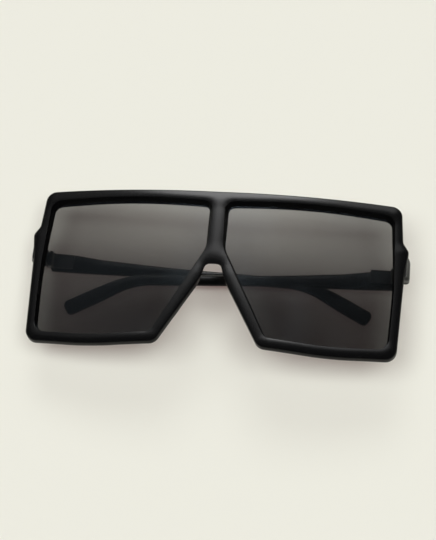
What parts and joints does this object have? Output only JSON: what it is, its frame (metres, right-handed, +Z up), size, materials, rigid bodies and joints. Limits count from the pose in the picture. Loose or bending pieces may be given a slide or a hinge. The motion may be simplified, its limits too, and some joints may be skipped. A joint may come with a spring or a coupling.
{
  "type": "sunglasses",
  "caption": "Oversized flat-top sunglasses with big dark lenses in a black front, folded with one temple over the other, on barrel hinges with screws.",
  "frame": {"origin": "on the resting surface, under the middle of the folded object's box", "axes": "+X along the front to the wearer's left, +Y to the brow edge, +Z up out of the lenses; folded, with the wearer's right temple lying flat on the surface"},
  "size_m": [0.1517, 0.0664, 0.0324],
  "materials": {
    "frame_plastic": "polished black plastic",
    "temple_plastic": "polished black plastic",
    "lens": "dark grey tint, see-through, lighter towards the brow",
    "hinge_metal": "blackened steel",
    "screw_metal": "bright steel"
  },
  "bodies": {
    "right_arm": {"right_temple": "temple_plastic", "right_temple_hinge_leaf": "hinge_metal"},
    "front": {"front_frame": "frame_plastic", "left_lens": "lens", "right_lens": "lens", "left_front_hinge_leaf": "hinge_metal", "right_front_hinge_leaf": "hinge_metal", "left_hinge_screw": "screw_metal", "right_hinge_screw": "screw_metal"},
    "left_arm": {"left_temple": "temple_plastic", "left_temple_hinge_leaf": "hinge_metal"}
  },
  "joints": [
    {"name": "right_hinge", "type": "hinge", "parent": "right_arm", "child": "front", "pos_m": [-0.06973, 0.00918, 0.006], "axis": [0, -1, 0], "range_deg": [0, 87.4]},
    {"name": "left_hinge", "type": "hinge", "parent": "front", "child": "left_arm", "pos_m": [0.06973, 0.00918, 0.01233], "axis": [0, -1, 0], "range_deg": [0, 92.6]}
  ],
  "couplings": [
    {"joint": "left_hinge", "follows": "right_hinge", "ratio": 1.059}
  ]
}
